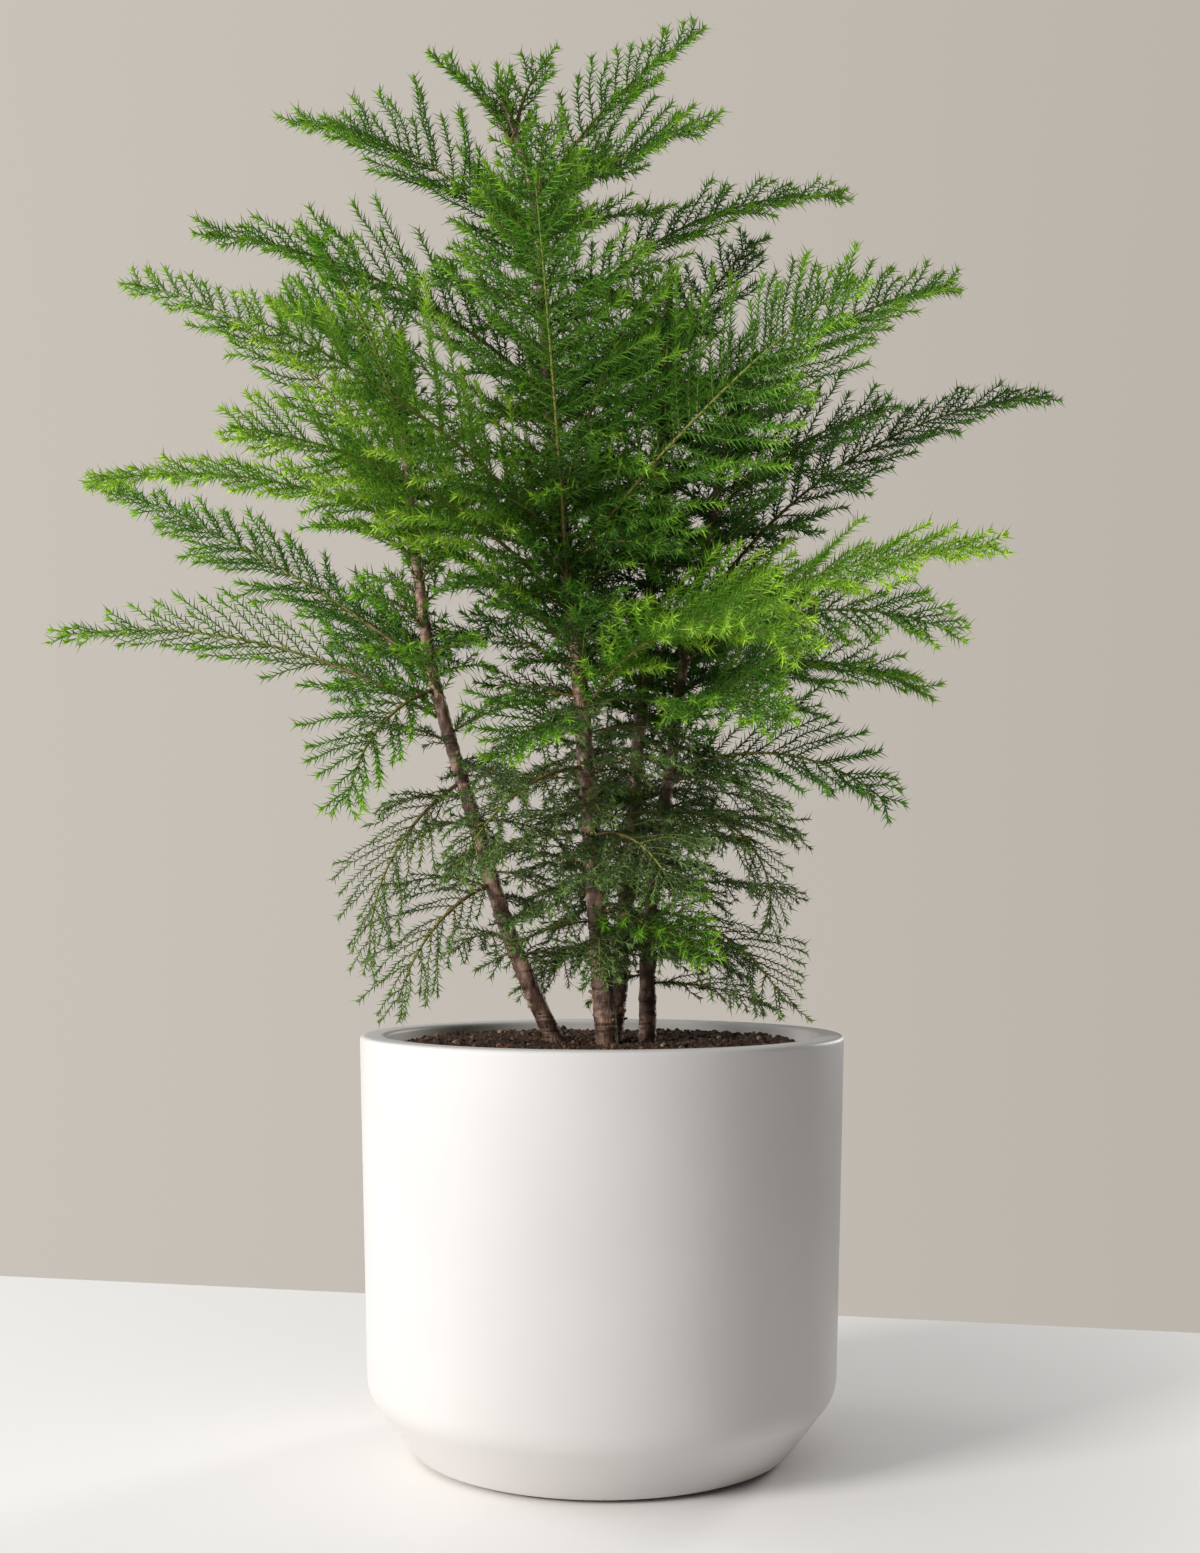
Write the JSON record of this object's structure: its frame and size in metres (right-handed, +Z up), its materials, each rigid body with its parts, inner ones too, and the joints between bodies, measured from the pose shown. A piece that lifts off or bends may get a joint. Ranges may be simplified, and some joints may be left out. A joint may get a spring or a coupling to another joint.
{
  "type": "artificial tabletop tree",
  "caption": "Artificial tabletop tree: wired needle fronds on slender wire-cored stems, in a weighted liner that drops into a round off-white ceramic planter.",
  "frame": {"origin": "centre of the flat face under the planter that the tree stands on", "axes": "+Z up through the planter's axis, front of the tree towards -Y, +X to the viewer's right"},
  "size_m": [0.5452, 0.3663, 0.7541],
  "materials": {
    "planter_ceramic": "matte off-white glaze",
    "felt": "dark felt",
    "liner_plastic": "black moulded",
    "cement": "rough cast",
    "foam": "dry floral foam",
    "soil": "moulded crumbly soil",
    "bark": "moulded bark, satin",
    "steel_wire": "drawn wire",
    "foliage_fresh": "bright yellow-green needles",
    "foliage_mid": "green needles",
    "foliage_deep": "dark green needles",
    "foliage_olive": "greyish olive needles"
  },
  "bodies": {
    "planter": {"planter": "planter_ceramic", "felt_pad": "felt"},
    "insert": {"liner_pot": "liner_plastic", "ballast": "cement", "foam_block": "foam", "soil_disc": "soil", "stem_left": "bark", "wire_left": "steel_wire", "stem_centre": "bark", "wire_centre": "steel_wire", "stem_rear": "bark", "wire_rear": "steel_wire", "stem_right": "bark", "wire_right": "steel_wire"},
    "frond_left_01": {"frond_left_01": "foliage_olive"},
    "frond_left_02": {"frond_left_02": "foliage_olive"},
    "frond_left_03": {"frond_left_03": "foliage_mid"},
    "frond_left_04": {"frond_left_04": "foliage_mid"},
    "frond_left_05": {"frond_left_05": "foliage_mid"},
    "frond_left_06": {"frond_left_06": "foliage_deep"},
    "frond_left_07": {"frond_left_07": "foliage_deep"},
    "frond_left_08": {"frond_left_08": "foliage_mid"},
    "frond_left_09": {"frond_left_09": "foliage_mid"},
    "frond_left_10": {"frond_left_10": "foliage_mid"},
    "frond_centre_01": {"frond_centre_01": "foliage_fresh"},
    "frond_centre_02": {"frond_centre_02": "foliage_olive"},
    "frond_centre_03": {"frond_centre_03": "foliage_olive"},
    "frond_centre_04": {"frond_centre_04": "foliage_mid"},
    "frond_centre_05": {"frond_centre_05": "foliage_fresh"},
    "frond_centre_06": {"frond_centre_06": "foliage_fresh"},
    "frond_centre_07": {"frond_centre_07": "foliage_fresh"},
    "frond_centre_08": {"frond_centre_08": "foliage_fresh"},
    "frond_centre_09": {"frond_centre_09": "foliage_mid"},
    "frond_centre_10": {"frond_centre_10": "foliage_mid"},
    "frond_centre_11": {"frond_centre_11": "foliage_fresh"},
    "frond_centre_12": {"frond_centre_12": "foliage_mid"},
    "frond_centre_13": {"frond_centre_13": "foliage_deep"},
    "frond_centre_14": {"frond_centre_14": "foliage_mid"},
    "frond_centre_15": {"frond_centre_15": "foliage_mid"},
    "frond_centre_16": {"frond_centre_16": "foliage_mid"},
    "frond_centre_17": {"frond_centre_17": "foliage_mid"},
    "frond_centre_18": {"frond_centre_18": "foliage_mid"},
    "frond_centre_19": {"frond_centre_19": "foliage_mid"},
    "frond_centre_20": {"frond_centre_20": "foliage_mid"},
    "frond_centre_21": {"frond_centre_21": "foliage_mid"},
    "frond_rear_01": {"frond_rear_01": "foliage_olive"},
    "frond_rear_02": {"frond_rear_02": "foliage_deep"},
    "frond_rear_03": {"frond_rear_03": "foliage_deep"},
    "frond_rear_04": {"frond_rear_04": "foliage_mid"},
    "frond_rear_05": {"frond_rear_05": "foliage_deep"},
    "frond_rear_06": {"frond_rear_06": "foliage_deep"},
    "frond_right_01": {"frond_right_01": "foliage_olive"},
    "frond_right_02": {"frond_right_02": "foliage_olive"},
    "frond_right_03": {"frond_right_03": "foliage_olive"},
    "frond_right_04": {"frond_right_04": "foliage_deep"},
    "frond_right_05": {"frond_right_05": "foliage_mid"},
    "frond_right_06": {"frond_right_06": "foliage_mid"},
    "frond_right_07": {"frond_right_07": "foliage_mid"},
    "frond_right_08": {"frond_right_08": "foliage_deep"},
    "frond_right_09": {"frond_right_09": "foliage_deep"}
  },
  "joints": [
    {"name": "insert_lift", "type": "slide", "parent": "planter", "child": "insert", "axis": [0, 0, 1], "range_m": [0, 0.22]},
    {"name": "frond_left_01_bend", "type": "hinge", "parent": "insert", "child": "frond_left_01", "pos_m": [-0.06123, -0.01687, 0.295], "axis": [-0.6306, 0.7761, 0], "range_deg": [-12, 18]},
    {"name": "frond_left_02_bend", "type": "hinge", "parent": "insert", "child": "frond_left_02", "pos_m": [-0.07723, -0.01507, 0.347], "axis": [-0.2262, 0.9741, 0], "range_deg": [-12, 18]},
    {"name": "frond_left_03_bend", "type": "hinge", "parent": "insert", "child": "frond_left_03", "pos_m": [-0.08829, -0.01104, 0.385], "axis": [0.0558, 0.9984, 0], "range_deg": [-12, 18]},
    {"name": "frond_left_04_bend", "type": "hinge", "parent": "insert", "child": "frond_left_04", "pos_m": [-0.09011, -0.01328, 0.397], "axis": [-0.6419, 0.7668, 0], "range_deg": [-12, 18]},
    {"name": "frond_left_05_bend", "type": "hinge", "parent": "insert", "child": "frond_left_05", "pos_m": [-0.09416, -0.00617, 0.412], "axis": [0.4115, 0.9114, 0], "range_deg": [-12, 18]},
    {"name": "frond_left_06_bend", "type": "hinge", "parent": "insert", "child": "frond_left_06", "pos_m": [-0.0931, -0.00254, 0.422], "axis": [0.9324, 0.3615, 0], "range_deg": [-12, 18]},
    {"name": "frond_left_07_bend", "type": "hinge", "parent": "insert", "child": "frond_left_07", "pos_m": [-0.09983, 0.00288, 0.477], "axis": [0.9777, 0.2099, 0], "range_deg": [-12, 18]},
    {"name": "frond_left_08_bend", "type": "hinge", "parent": "insert", "child": "frond_left_08", "pos_m": [-0.10499, 0.00158, 0.497], "axis": [0.3468, 0.9379, 0], "range_deg": [-12, 15]},
    {"name": "frond_left_09_bend", "type": "hinge", "parent": "insert", "child": "frond_left_09", "pos_m": [-0.10668, 0.00533, 0.532], "axis": [0.809, 0.5878, 0], "range_deg": [-12, 18]},
    {"name": "frond_left_10_bend", "type": "hinge", "parent": "insert", "child": "frond_left_10", "pos_m": [-0.10659, -0.00078, 0.542], "axis": [-0.937, 0.3495, 0], "range_deg": [-12, 18]},
    {"name": "frond_centre_01_bend", "type": "hinge", "parent": "insert", "child": "frond_centre_01", "pos_m": [0.00312, -0.01965, 0.269], "axis": [-0.763, -0.6463, 0], "range_deg": [-12, 18]},
    {"name": "frond_centre_02_bend", "type": "hinge", "parent": "insert", "child": "frond_centre_02", "pos_m": [-0.00231, -0.01899, 0.322], "axis": [-0.8706, -0.492, 0], "range_deg": [-12, 18]},
    {"name": "frond_centre_03_bend", "type": "hinge", "parent": "insert", "child": "frond_centre_03", "pos_m": [-0.01271, -0.01668, 0.357], "axis": [-0.7415, 0.671, 0], "range_deg": [-12, 18]},
    {"name": "frond_centre_04_bend", "type": "hinge", "parent": "insert", "child": "frond_centre_04", "pos_m": [-0.01312, -0.0167, 0.379], "axis": [-0.8581, 0.5134, 0], "range_deg": [-12, 18]},
    {"name": "frond_centre_05_bend", "type": "hinge", "parent": "insert", "child": "frond_centre_05", "pos_m": [-0.00698, -0.01612, 0.389], "axis": [-0.8156, -0.5786, 0], "range_deg": [-12, 18]},
    {"name": "frond_centre_06_bend", "type": "hinge", "parent": "insert", "child": "frond_centre_06", "pos_m": [-0.00607, -0.01297, 0.404], "axis": [-0.391, -0.9204, 0], "range_deg": [-12, 18]},
    {"name": "frond_centre_07_bend", "type": "hinge", "parent": "insert", "child": "frond_centre_07", "pos_m": [-0.01912, -0.0106, 0.422], "axis": [-0.1202, 0.9928, 0], "range_deg": [-12, 18]},
    {"name": "frond_centre_08_bend", "type": "hinge", "parent": "insert", "child": "frond_centre_08", "pos_m": [-0.0207, -0.0112, 0.443], "axis": [-0.4479, 0.8941, 0], "range_deg": [-12, 18]},
    {"name": "frond_centre_09_bend", "type": "hinge", "parent": "insert", "child": "frond_centre_09", "pos_m": [-0.01797, -0.01332, 0.455], "axis": [-0.9872, 0.1598, 0], "range_deg": [-12, 11]},
    {"name": "frond_centre_10_bend", "type": "hinge", "parent": "insert", "child": "frond_centre_10", "pos_m": [-0.01384, -0.01039, 0.465], "axis": [-0.6028, -0.7979, 0], "range_deg": [-12, 18]},
    {"name": "frond_centre_11_bend", "type": "hinge", "parent": "insert", "child": "frond_centre_11", "pos_m": [-0.02355, -0.00987, 0.473], "axis": [-0.6253, 0.7804, 0], "range_deg": [-12, 18]},
    {"name": "frond_centre_12_bend", "type": "hinge", "parent": "insert", "child": "frond_centre_12", "pos_m": [-0.01898, -0.00871, 0.499], "axis": [-0.7948, -0.6069, 0], "range_deg": [-12, 12]},
    {"name": "frond_centre_13_bend", "type": "hinge", "parent": "insert", "child": "frond_centre_13", "pos_m": [-0.02493, 0.0028, 0.537], "axis": [0.9762, -0.2169, 0], "range_deg": [-12, 18]},
    {"name": "frond_centre_14_bend", "type": "hinge", "parent": "insert", "child": "frond_centre_14", "pos_m": [-0.03241, -0.00247, 0.557], "axis": [-0.2487, 0.9686, 0], "range_deg": [-12, 18]},
    {"name": "frond_centre_15_bend", "type": "hinge", "parent": "insert", "child": "frond_centre_15", "pos_m": [-0.02597, 0.00098, 0.585], "axis": [0.3461, -0.9382, 0], "range_deg": [-12, 18]},
    {"name": "frond_centre_16_bend", "type": "hinge", "parent": "insert", "child": "frond_centre_16", "pos_m": [-0.0368, 0.00176, 0.622], "axis": [0.2858, 0.9583, 0], "range_deg": [-12, 18]},
    {"name": "frond_centre_17_bend", "type": "hinge", "parent": "insert", "child": "frond_centre_17", "pos_m": [-0.03408, 0.00517, 0.637], "axis": [0.9897, 0.1429, 0], "range_deg": [-12, 18]},
    {"name": "frond_centre_18_bend", "type": "hinge", "parent": "insert", "child": "frond_centre_18", "pos_m": [-0.0306, 0.00044, 0.649], "axis": [-0.2944, -0.9557, 0], "range_deg": [-12, 18]},
    {"name": "frond_centre_19_bend", "type": "hinge", "parent": "insert", "child": "frond_centre_19", "pos_m": [-0.03224, 0.00281, 0.662], "axis": [0.2119, -0.9773, 0], "range_deg": [-12, 18]},
    {"name": "frond_centre_20_bend", "type": "hinge", "parent": "insert", "child": "frond_centre_20", "pos_m": [-0.04837, 0.001, 0.691], "axis": [-0.295, 0.9555, 0], "range_deg": [-12, 14]},
    {"name": "frond_centre_21_bend", "type": "hinge", "parent": "insert", "child": "frond_centre_21", "pos_m": [-0.0452, 0.00422, 0.7], "axis": [0.6047, -0.7964, 0], "range_deg": [-12, 4]},
    {"name": "frond_rear_01_bend", "type": "hinge", "parent": "insert", "child": "frond_rear_01", "pos_m": [0.01812, 0.02775, 0.347], "axis": [0.9963, -0.0862, 0], "range_deg": [-12, 18]},
    {"name": "frond_rear_02_bend", "type": "hinge", "parent": "insert", "child": "frond_rear_02", "pos_m": [0.02552, 0.02791, 0.407], "axis": [0.8405, -0.5418, 0], "range_deg": [-12, 18]},
    {"name": "frond_rear_03_bend", "type": "hinge", "parent": "insert", "child": "frond_rear_03", "pos_m": [0.02681, 0.02855, 0.467], "axis": [0.9898, 0.1423, 0], "range_deg": [-12, 18]},
    {"name": "frond_rear_04_bend", "type": "hinge", "parent": "insert", "child": "frond_rear_04", "pos_m": [0.03447, 0.02524, 0.507], "axis": [0.264, -0.9645, 0], "range_deg": [-12, 18]},
    {"name": "frond_rear_05_bend", "type": "hinge", "parent": "insert", "child": "frond_rear_05", "pos_m": [0.03426, 0.02869, 0.542], "axis": [0.9052, -0.425, 0], "range_deg": [-12, 18]},
    {"name": "frond_rear_06_bend", "type": "hinge", "parent": "insert", "child": "frond_rear_06", "pos_m": [0.03682, 0.02928, 0.577], "axis": [0.7771, -0.6294, 0], "range_deg": [-12, 18]},
    {"name": "frond_right_01_bend", "type": "hinge", "parent": "insert", "child": "frond_right_01", "pos_m": [0.03112, 0.00932, 0.282], "axis": [-0.5363, -0.8441, 0], "range_deg": [-12, 18]},
    {"name": "frond_right_02_bend", "type": "hinge", "parent": "insert", "child": "frond_right_02", "pos_m": [0.03589, 0.01494, 0.322], "axis": [0.3366, -0.9416, 0], "range_deg": [-12, 18]},
    {"name": "frond_right_03_bend", "type": "hinge", "parent": "insert", "child": "frond_right_03", "pos_m": [0.03745, 0.01088, 0.335], "axis": [-0.463, -0.8864, 0], "range_deg": [-12, 18]},
    {"name": "frond_right_04_bend", "type": "hinge", "parent": "insert", "child": "frond_right_04", "pos_m": [0.04119, 0.01187, 0.357], "axis": [-0.3741, -0.9274, 0], "range_deg": [-12, 18]},
    {"name": "frond_right_05_bend", "type": "hinge", "parent": "insert", "child": "frond_right_05", "pos_m": [0.04194, 0.00981, 0.387], "axis": [-0.946, -0.3242, 0], "range_deg": [-12, 18]},
    {"name": "frond_right_06_bend", "type": "hinge", "parent": "insert", "child": "frond_right_06", "pos_m": [0.04674, 0.01595, 0.403], "axis": [0.2585, -0.966, 0], "range_deg": [-12, 18]},
    {"name": "frond_right_07_bend", "type": "hinge", "parent": "insert", "child": "frond_right_07", "pos_m": [0.04866, 0.01273, 0.421], "axis": [-0.508, -0.8614, 0], "range_deg": [-12, 18]},
    {"name": "frond_right_08_bend", "type": "hinge", "parent": "insert", "child": "frond_right_08", "pos_m": [0.05296, 0.01685, 0.443], "axis": [0.3154, -0.949, 0], "range_deg": [-12, 18]},
    {"name": "frond_right_09_bend", "type": "hinge", "parent": "insert", "child": "frond_right_09", "pos_m": [0.06409, 0.0164, 0.499], "axis": [-0.1347, -0.9909, 0], "range_deg": [-12, 18]}
  ]
}
